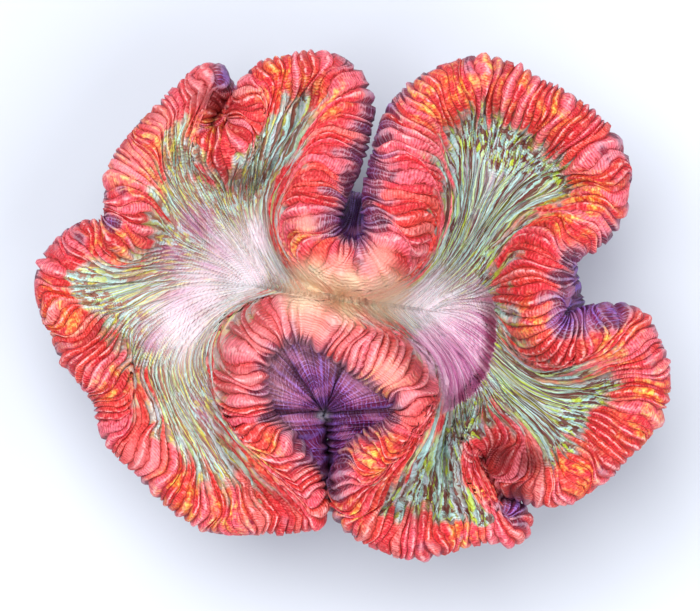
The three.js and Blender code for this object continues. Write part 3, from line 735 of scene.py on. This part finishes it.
def pleat_tops(tree, running, held, roundness):
    """How high the flesh stands across a pleat, 0 in the groove and 1 on top. Some pleats are
    split in two, and down the slope they join in pairs and in fours."""
    tops = 0.0
    for joined, share in ((1, 1.0), (0.5, held["split"]), (2, held["pairs"]), (4, held["fours"])):
        part = running
        for operation, others in (("DIVIDE", {1: joined}), ("FRACT", {}),
                                  ("MULTIPLY_ADD", {1: 2, 2: -1}), ("ABSOLUTE", {}),
                                  ("POWER", {1: roundness})):
            part = add(tree, "ShaderNodeMath", {0: part, **others}, operation=operation)
        part = add(tree, "ShaderNodeMath", {0: 1, 1: part}, operation="SUBTRACT")
        tops = add(tree, "ShaderNodeMix", {0: share, 2: tops, 3: part})
    return tops


# Wet coral flesh: translucent and satin. On the rim the pleats are scarlet with pink tops and
# deep red grooves, partly their own colour and partly painted shade, and a pink line along the
# tops is a painted highlight. Outside they turn to a violet net over plum. Down the slope they are
# thin mint and lilac ridges with maroon gaps and lime flecks, and the floor is pale, mauve and
# ochre.
BAND_START, BAND_END = -16, 22
# Depth from the crest in mm, below zero on the outside: tops, grooves. The grooves' darker
# colours are partly the flesh's own and partly painted shade.
BAND_COLOURS = [
    (-16, "#8454b0", "#5a1650"), (-8, "#9a68c4", "#7e1c54"), (-4.2, "#b0869c", "#843048"),
    (-2.0, "#d48896", "#9a2438"), (-0.8, "#f0606a", "#8e0f16"), (0.5, "#ee4a40", "#8c100e"),
    (3.8, "#ea5a4c", "#841c12"), (5.2, "#e0a090", "#7c3220"), (6.6, "#a8dcd4", "#5c1e14"),
    (11, "#a8d4d0", "#643024"), (16, "#e6d8e2", "#b08aa0"), (22, "#f0e2ea", "#d0acc6"),
]
# Where along that depth the rim, the slope and the wall have coats of their own.
OFF, ON = "#000000", "#ffffff"
RIM_SPAN = [(-2.6, OFF), (-1.0, ON), (3.6, ON), (5.2, OFF)]
SLOPE_SPAN = [(4.0, OFF), (5.8, ON), (12, ON), (16.5, OFF)]
WALL_SPAN = [(-3.4, ON), (-1.4, OFF)]
RED_TINTS = [(0, "#ff8c9c"), (0.16, "#f0607a"), (0.32, "#e22c44"), (0.5, "#d41c2c"),
             (0.62, "#ae263a"), (0.74, "#e63036"), (0.88, "#f25248"), (1, "#f49a9a")]
SLOPE_GRAINS = [(0, "#6e2a22"), (0.1, "#84402e"), (0.16, "#a2d8d0"), (0.45, "#c8ecea"),
                (0.6, "#cdb8d2"), (0.76, "#98c8c0"), (0.86, "#b4bf62"), (0.95, "#c8e04a"),
                (1, "#d9ea5c")]
DEEP_THREADS = [(0, "#5c160e"), (0.35, "#744438"), (0.6, "#98d4d0"), (1, "#d4f0ee")]
PALE_THREADS = [(0, "#8c5038"), (0.35, "#b8a878"), (0.6, "#c4e4dc"), (1, "#e6f6f2")]
GOLDS = [(0, "#e8602a"), (0.5, "#f09a3c"), (1, "#ecd05a")]
CHALK = [(0.3, "#a79a84"), (0.7, "#e8dfca")]
# Patterns by place: size in mm, and how many finer ones lie in each.
WOBBLE, RAGGED, WANDER, MOTTLE, CHALK_GRAIN = (2.4, 4), (0.8, 3), (1.6, 2), (0.5, 3), (2, 5)
# How far the wobble and each pleat's own reach move the bands of colour, in mm.
BAND_WOBBLE, PLEAT_REACH = 6.0, 1.9
RAGGEDNESS, RIDGE_ROUNDNESS = 0.55, 1.8
# Heights of a ridge where the groove's colour ends and the top's starts, what is added on the
# wall and the rim, and the top's share where the flesh is smooth.
GROOVE_END, TOP_START = 0.4, 0.92
WALL_GROOVE, RIM_GROOVE, RIM_TOP = 0.38, -0.38, -0.3
SMOOTH_SHARE = 0.62
# The striations across the pleats and the net's lines: pitch in mm, how much they wander.
STRIAE, NET_LINES = (0.35, 12), (0.55, 7)
# Patterns drawn out along the pleats: how many to a pleat, and how many finer ones in each.
DRAWN_OUT = 0.45
GAPS, FLECKS, GLINTS, STREAKS, WASHES = (1.7, 3), (1.6, 3), (1.0, 4), (0.5, 4), (0.14, 3)
THREADS, GRAINS = (3.4, 1.3, 1), 2.3
DISC_WOBBLE = 0.08
STRIA_RELIEF, MOTTLE_RELIEF, RIDGE_RELIEF = 0.045, 0.26, 0.12

flesh_material = bpy.data.materials.new("wet coral flesh")
flesh_material.use_nodes = True
tree = flesh_material.node_tree
tree.nodes.clear()
held = {name: add(tree, "ShaderNodeAttribute", attribute_name=name).node.outputs["Fac"]
        for name in surface_values}
place = add(tree, "ShaderNodeTexCoord").node.outputs["Object"]
wobble, ragged, wander, mottle, chalk = (
    add(tree, "ShaderNodeTexNoise", {"Vector": place, "Scale": 1 / (size * MM), "Detail": detail})
    for size, detail in (WOBBLE, RAGGED, WANDER, MOTTLE, CHALK_GRAIN))

# The bands have ragged edges, because each pleat's colours reach a little further or less far.
depth = add(tree, "ShaderNodeMath", {0: held["depth"], 1: BAND_WOBBLE / 2}, operation="SUBTRACT")
for value, most in ((wobble, BAND_WOBBLE), (held["reach"], PLEAT_REACH)):
    depth = add(tree, "ShaderNodeMath", {0: value, 1: most, 2: depth}, operation="MULTIPLY_ADD")
band = add(tree, "ShaderNodeMapRange", {"Value": depth, "From Min": BAND_START,
                                        "From Max": BAND_END})
on_rim, on_slope, on_wall, tops, grooves = (
    add(tree, "ShaderNodeValToRGB", {"Fac": band}, stops=[
        ((at - BAND_START) / (BAND_END - BAND_START), code) for at, code in stops])
    for stops in (RIM_SPAN, SLOPE_SPAN, WALL_SPAN, [(at, top) for at, top, _ in BAND_COLOURS],
                  [(at, groove) for at, _, groove in BAND_COLOURS]))

# The ridges of the pleats are ragged, and striations cross them, which make a net on the wall.
running = add(tree, "ShaderNodeMath", {0: held["pleat"], 1: RAGGEDNESS / 2}, operation="SUBTRACT")
running = add(tree, "ShaderNodeMath", {0: ragged, 1: RAGGEDNESS, 2: running},
              operation="MULTIPLY_ADD")
ridge = pleat_tops(tree, running, held, RIDGE_ROUNDNESS)
stripes = []
for pitch, bend in (STRIAE, NET_LINES):
    phase = add(tree, "ShaderNodeMath", {0: held["inward"], 1: 2 * math.pi / pitch},
                operation="MULTIPLY")
    phase = add(tree, "ShaderNodeMath", {0: wander, 1: bend, 2: phase}, operation="MULTIPLY_ADD")
    stripes.append(add(tree, "ShaderNodeMath", {0: phase}, operation="SINE"))
striae, net_lines = stripes

# What is drawn out along the pleats.
drawn = add(tree, "ShaderNodeCombineXYZ", {0: running, 1: add(
    tree, "ShaderNodeMath", {0: held["inward"], 1: DRAWN_OUT}, operation="MULTIPLY")})
gaps, flecks, glints, streaks, washes = (
    add(tree, "ShaderNodeTexNoise", {"Vector": drawn, "Scale": scale, "Detail": detail})
    for scale, detail in (GAPS, FLECKS, GLINTS, STREAKS, WASHES))
threads = add(tree, "ShaderNodeVectorMath", {0: drawn, 1: THREADS}, operation="MULTIPLY")
threads = add(tree, "ShaderNodeTexNoise", {"Vector": threads, "Scale": 1, "Detail": 4})
grains = add(tree, "ShaderNodeTexVoronoi", {"Vector": drawn, "Scale": GRAINS})
grains = add(tree, "ShaderNodeSeparateColor", {0: grains.node.outputs["Color"]})

# Shares that run between two values of something.
from_disc = add(tree, "ShaderNodeMath", {0: wobble, 1: DISC_WOBBLE, 2: held["from_disc"]},
                operation="MULTIPLY_ADD")
(crisp, threads, streaks, washes, sparkle, deep, far_out, on_disc, on_shaded_edge, unbroken,
 broken) = (
    add(tree, "ShaderNodeMapRange", {"Value": value, "From Min": low, "From Max": high,
                                     "To Min": least, "To Max": most})
    for value, low, high, least, most in (
        (held["lift"], 0.06, 0.36, 0, 1), (threads, 0.38, 0.6, 0, 1), (streaks, 0.38, 0.62, 0, 1),
        (washes, 0.38, 0.62, 0, 1), (mottle, 0.4, 0.6, 0, 1), (depth, 4.5, 8.0, 0, 1),
        (depth, -3, -7, 0, 1), (from_disc, 1.04, 1.015, 0, 1), (from_disc, 0.84, 0.96, 0, 1),
        (ragged, 0.36, 0.56, 0.2, 1), (ragged, 0.42, 0.6, 0, 0.7)))

# The ridges are thin light lines on the slope and the wall and full on the rim, and they fade
# where the flesh is smooth.
low = add(tree, "ShaderNodeMath", {0: on_wall, 1: WALL_GROOVE, 2: GROOVE_END},
          operation="MULTIPLY_ADD")
low = add(tree, "ShaderNodeMath", {0: on_rim, 1: RIM_GROOVE, 2: low}, operation="MULTIPLY_ADD")
high = add(tree, "ShaderNodeMath", {0: on_rim, 1: RIM_TOP, 2: TOP_START}, operation="MULTIPLY_ADD")
height = add(tree, "ShaderNodeMapRange", {"Value": ridge, "From Min": low, "From Max": high})
height = add(tree, "ShaderNodeMix", {0: crisp, 2: SMOOTH_SHARE, 3: height})
red = add(tree, "ShaderNodeMath", {0: on_rim, 1: height}, operation="MULTIPLY")

# Colours that vary from pleat to pleat or from place to place.
reds, grain_colour, gold_colour, deep_threads, pale_threads, chalk = (
    add(tree, "ShaderNodeValToRGB", {"Fac": value}, stops=stops) for value, stops in (
        (held["tint"], RED_TINTS), (grains, SLOPE_GRAINS), (sparkle, GOLDS),
        (threads, DEEP_THREADS), (threads, PALE_THREADS), (chalk, CHALK)))
net_colour, thread_colour, gap_colour, fleck_colour = (
    add(tree, "ShaderNodeMix", {0: share, 6: first, 7: second}, data_type="RGBA")
    for share, first, second in (
        (far_out, linear("#d0a8b4"), linear("#a080dc")),
        (held["pale"], deep_threads, pale_threads),
        (held["pale"], linear("#64120a"), linear("#9a5c4a")),
        (held["pale"], linear("#bcd636"), linear("#dcd85c"))))
net_colour = add(tree, "ShaderNodeMix", {0: held["rosy"], 6: net_colour, 7: linear("#dca8b4")},
                 data_type="RGBA")

# The coats of colour from the lowest up: a pattern, the values of it between which the coat's
# share changes, the shares there, what limits it, and its colour.
colour = grooves
for pattern, (low, high), (least, most), limits, over in (
        # tops over the grooves, their dark colour partly the flesh's own, partly painted shade
        (height, (0, 1), (0, 1), (), tops),
        # the rosy inside of the bottom fold, then the wall's net, blotches, painted shade in the
        # creases, and the knot
        (held["rosy"], (0, 1), (0, 0.75), (), "#b07c88"),
        (net_lines, (0.55, 1), (0, 0.75), (on_wall, unbroken), net_colour),
        (wobble, (0.5, 0.62), (0, 0.55), (on_wall,), "#b8709c"),
        (wobble, (0.48, 0.36), (0, 0.55), (on_wall,), "#3c1030"),
        # painted shade: the creases darkened nearly to black
        (held["crease"], (0, 1), (0, 0.8), (), "#2c0e1c"),
        (held["knot"], (0, 1), (0, 1), (), "#dcd4e6"),
        # the rim's reds, finely mottled and striated, with a painted highlight, a pink line along
        # the top of a pleat
        (red, (0, 1), (0, 0.85), (), reds),
        (mottle, (0.5, 0.36), (0, 0.65), (red,), "#a81c1a"),
        (mottle, (0.54, 0.68), (0, 0.5), (red,), "#ff9a90"),
        (striae, (0, -0.9), (0, 0.5), (red,), "#9c1a18"),
        # a painted highlight: a pink line along the tops of the rim's pleats, broken here and there
        (ridge, (0.9, 0.99), (0, 1), (on_rim, broken), "#ffc0c0"),
        # the slope's fine threads, grains, gaps and lime flecks
        (on_slope, (0, 1), (0, 0.5), (crisp,), thread_colour),
        (on_slope, (0, 1), (0, 0.45), (crisp,), grain_colour),
        (gaps, (0.487, 0.54), (0, 0.9), (on_slope, crisp), gap_colour),
        (flecks, (0.565, 0.63), (0, 0.75), (on_slope, crisp), fleck_colour),
        # gold and orange along some pleats of the rim
        (glints, (0.46, 0.6), (0, 0.9), (held["gold"], height), gold_colour),
        # the rim's salmon, the mouth disc and its edge, maroon painted shade on its stepped side,
        # the curls' maroon streaks, and the valley's ochre, mauve and white, the white partly a
        # painted glow
        (streaks, (0, 1), (0.35, 0.65), (held["salmon"], red), "#fca6a8"),
        (held["disc"], (0, 1), (0, 0.95), (on_disc,), "#efdbe9"),
        (streaks, (0, 1), (0.15, 0.95), (held["disc"], on_disc), "#b4508c"),
        # painted shade: a dark maroon band along the disc's edge where it steps down
        (streaks, (0, 1), (0.75, 1), (held["edge"], on_shaded_edge, on_disc), "#74193c"),
        (held["maroon"], (0, 1), (0, 1), (), "#6a1014"),
        (washes, (0, 1), (0.65, 0.95), (held["ochre"],), "#e2caa6"),
        (washes, (0, 1), (0.1, 0.85), (held["mauve"], deep), "#b8689c"),
        # the white: pale flesh, partly a painted glow of light
        (washes, (0, 1), (0.65, 0.95), (held["white"], deep), "#f4dfea"),
        # the blisters, and the bare skeleton below the flesh, cream with a little grey
        (held["blister"], (0, 1), (0, 0.7), (), "#fb9a8c"),
        (held["bare"], (0, 1), (0, 1), (), chalk)):
    share = add(tree, "ShaderNodeMapRange", {"Value": pattern, "From Min": low, "From Max": high,
                                             "To Min": least, "To Max": most})
    for limit in limits:
        share = add(tree, "ShaderNodeMath", {0: share, 1: limit}, operation="MULTIPLY")
    over = linear(over) if isinstance(over, str) else over
    colour = add(tree, "ShaderNodeMix", {0: share, 6: colour, 7: over}, data_type="RGBA")

# Relief in mm too fine for the mesh: striations, granules and the ragged ridges.
relief = 0.0
ridge = add(tree, "ShaderNodeMath", {0: ridge, 1: crisp}, operation="MULTIPLY")
for pattern, most in ((striae, STRIA_RELIEF), (mottle, MOTTLE_RELIEF), (ridge, RIDGE_RELIEF)):
    relief = add(tree, "ShaderNodeMath", {0: pattern, 1: most, 2: relief},
                 operation="MULTIPLY_ADD")
bump = add(tree, "ShaderNodeBump", {"Height": relief, "Distance": MM, "Strength": 0.8})
shader = add(tree, "ShaderNodeBsdfPrincipled", {
    "Base Color": colour, "Normal": bump, "Roughness": 0.48, "IOR": 1.38,
    "Subsurface Weight": 0.12, "Subsurface Radius": (1.0, 0.35, 0.25),
    "Subsurface Scale": 0.6 * MM})
finish = tree.nodes.new("ShaderNodeOutputMaterial")
tree.links.new(shader, finish.inputs["Surface"])

# The pleats are raised on the flesh along its normal, round on top with a sharp groove on each
# side. The slope is grainy, and the whole surface swells and sinks a little.
PLEAT_INPUTS = {
    "Pleat height": 0.75 * MM, "Pleat roundness": 1.9, "Grain size": 0.9 * MM,
    "Grain height": 0.35 * MM, "Granule size": 0.55 * MM, "Granule height": 0.42 * MM,
    "Swell size": 5 * MM, "Swell height": 0.7 * MM,
}

pleats = bpy.data.node_groups.new("pleats", "GeometryNodeTree")
face = pleats.interface
face.new_socket("Geometry", in_out="INPUT", socket_type="NodeSocketGeometry")
for name in PLEAT_INPUTS:
    face.new_socket(name, in_out="INPUT", socket_type="NodeSocketFloat")
face.new_socket("Flesh", in_out="INPUT", socket_type="NodeSocketMaterial")
face.new_socket("Geometry", in_out="OUTPUT", socket_type="NodeSocketGeometry")
given = pleats.nodes.new("NodeGroupInput").outputs
held = {name: add(pleats, "GeometryNodeInputNamedAttribute", {"Name": name}, data_type="FLOAT")
        for name in ("pleat", "lift", "pairs", "fours", "split", "depth")}
tops = pleat_tops(pleats, held["pleat"], held, given["Pleat roundness"])
spot = add(pleats, "GeometryNodeInputPosition")
on_slope = add(pleats, "ShaderNodeMapRange", {"Value": held["depth"], "From Min": 3,
                                              "From Max": 7})
rise = 0.0
for name, pattern, share in (("Pleat", tops, 1.0), ("Grain", None, 1.0),
                             ("Granule", None, on_slope), ("Swell", None, 1.0)):
    if pattern is None:
        scale = add(pleats, "ShaderNodeMath", {0: 1, 1: given[name + " size"]}, operation="DIVIDE")
        pattern = add(pleats, "ShaderNodeTexNoise", {"Vector": spot, "Scale": scale, "Detail": 1})
    pattern = add(pleats, "ShaderNodeMath", {0: pattern, 1: 0.5}, operation="SUBTRACT")
    pattern = add(pleats, "ShaderNodeMath", {0: pattern, 1: share}, operation="MULTIPLY")
    rise = add(pleats, "ShaderNodeMath", {0: pattern, 1: given[name + " height"], 2: rise},
               operation="MULTIPLY_ADD")
rise = add(pleats, "ShaderNodeMath", {0: rise, 1: held["lift"]}, operation="MULTIPLY")
offset = add(pleats, "ShaderNodeVectorMath", {
    0: add(pleats, "GeometryNodeInputNormal"), "Scale": rise}, operation="SCALE")
moved = add(pleats, "GeometryNodeSetPosition", {"Geometry": given["Geometry"], "Offset": offset})
real = add(pleats, "GeometryNodeRealizeInstances", {"Geometry": moved})
covered = add(pleats, "GeometryNodeSetMaterial", {"Geometry": real, "Material": given["Flesh"]})
result = pleats.nodes.new("NodeGroupOutput")
pleats.links.new(covered, result.inputs["Geometry"])

modifier = flesh.modifiers.new("pleats", "NODES")
modifier.node_group = pleats
values = {**PLEAT_INPUTS, "Flesh": flesh_material}
for item in face.items_tree:
    if item.in_out == "INPUT" and item.name in values:
        modifier[item.identifier] = values[item.name]
graph = bpy.context.evaluated_depsgraph_get()
pleated = bpy.data.meshes.new_from_object(flesh.evaluated_get(graph), depsgraph=graph)
flesh.modifiers.remove(modifier)
flesh.data = pleated
flesh.data.shade_smooth()
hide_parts("brain_coral")
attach(flesh, "root")

# ---- The floor, the light and the camera ----
# A plain pale floor that the cut rests on, soft light from two large lamps and a pale sky,
# and a camera straight above.
FLOOR_REACH = 1.5
floor_mesh = bpy.data.meshes.new("floor")
floor_mesh.from_pydata([(x * FLOOR_REACH, y * FLOOR_REACH, 0) for x, y in (
    (-1, -1), (1, -1), (1, 1), (-1, 1))], [], [(0, 1, 2, 3)])
floor = bpy.data.objects.new("floor", floor_mesh)
bpy.context.collection.objects.link(floor)
floor_material = bpy.data.materials.new("matt pale paper")
floor_material.use_nodes = True
floor_shader = floor_material.node_tree.nodes["Principled BSDF"]
floor_shader.inputs["Base Color"].default_value = linear("#c9ced6")
floor_shader.inputs["Roughness"].default_value = 0.9
floor_mesh.materials.append(floor_material)

# Name, place and size in metres, power in watts.
LAMPS = [("key lamp", (-0.14, 0.2, 0.72), 0.5, 6.5), ("fill lamp", (0.35, -0.3, 0.62), 0.6, 3.5)]
for name, at, size, power in LAMPS:
    lamp_data = bpy.data.lights.new(name, "AREA")
    lamp_data.size = size
    lamp_data.energy = power
    lamp = bpy.data.objects.new(name, lamp_data)
    lamp.location = at
    lamp.rotation_mode = "QUATERNION"
    lamp.rotation_quaternion = (-Vector(at)).to_track_quat("-Z", "Y")
    bpy.context.collection.objects.link(lamp)

world = bpy.data.worlds.new("pale sky")
world.use_nodes = True
sky = world.node_tree.nodes["Background"].inputs
sky["Color"].default_value = linear("#f2f5ff")
sky["Strength"].default_value = 0.5
bpy.context.scene.world = world
bpy.context.scene.view_settings.view_transform = "Standard"

# The width of view is that at the rim's height.
VIEW_WIDTH, RIM_HEIGHT, CAMERA_HEIGHT = 82.74 * MM, 29 * MM, 600 * MM
VIEW_CENTRE = np.array([-0.41, 0.06])
camera_data = bpy.data.cameras.new("camera")
camera_data.sensor_width = 36
camera_data.lens = camera_data.sensor_width * (CAMERA_HEIGHT - RIM_HEIGHT) / VIEW_WIDTH
camera = bpy.data.objects.new("camera", camera_data)
camera.location = (*((VIEW_CENTRE - middle) * MM), CAMERA_HEIGHT)
bpy.context.collection.objects.link(camera)
bpy.context.scene.camera = camera
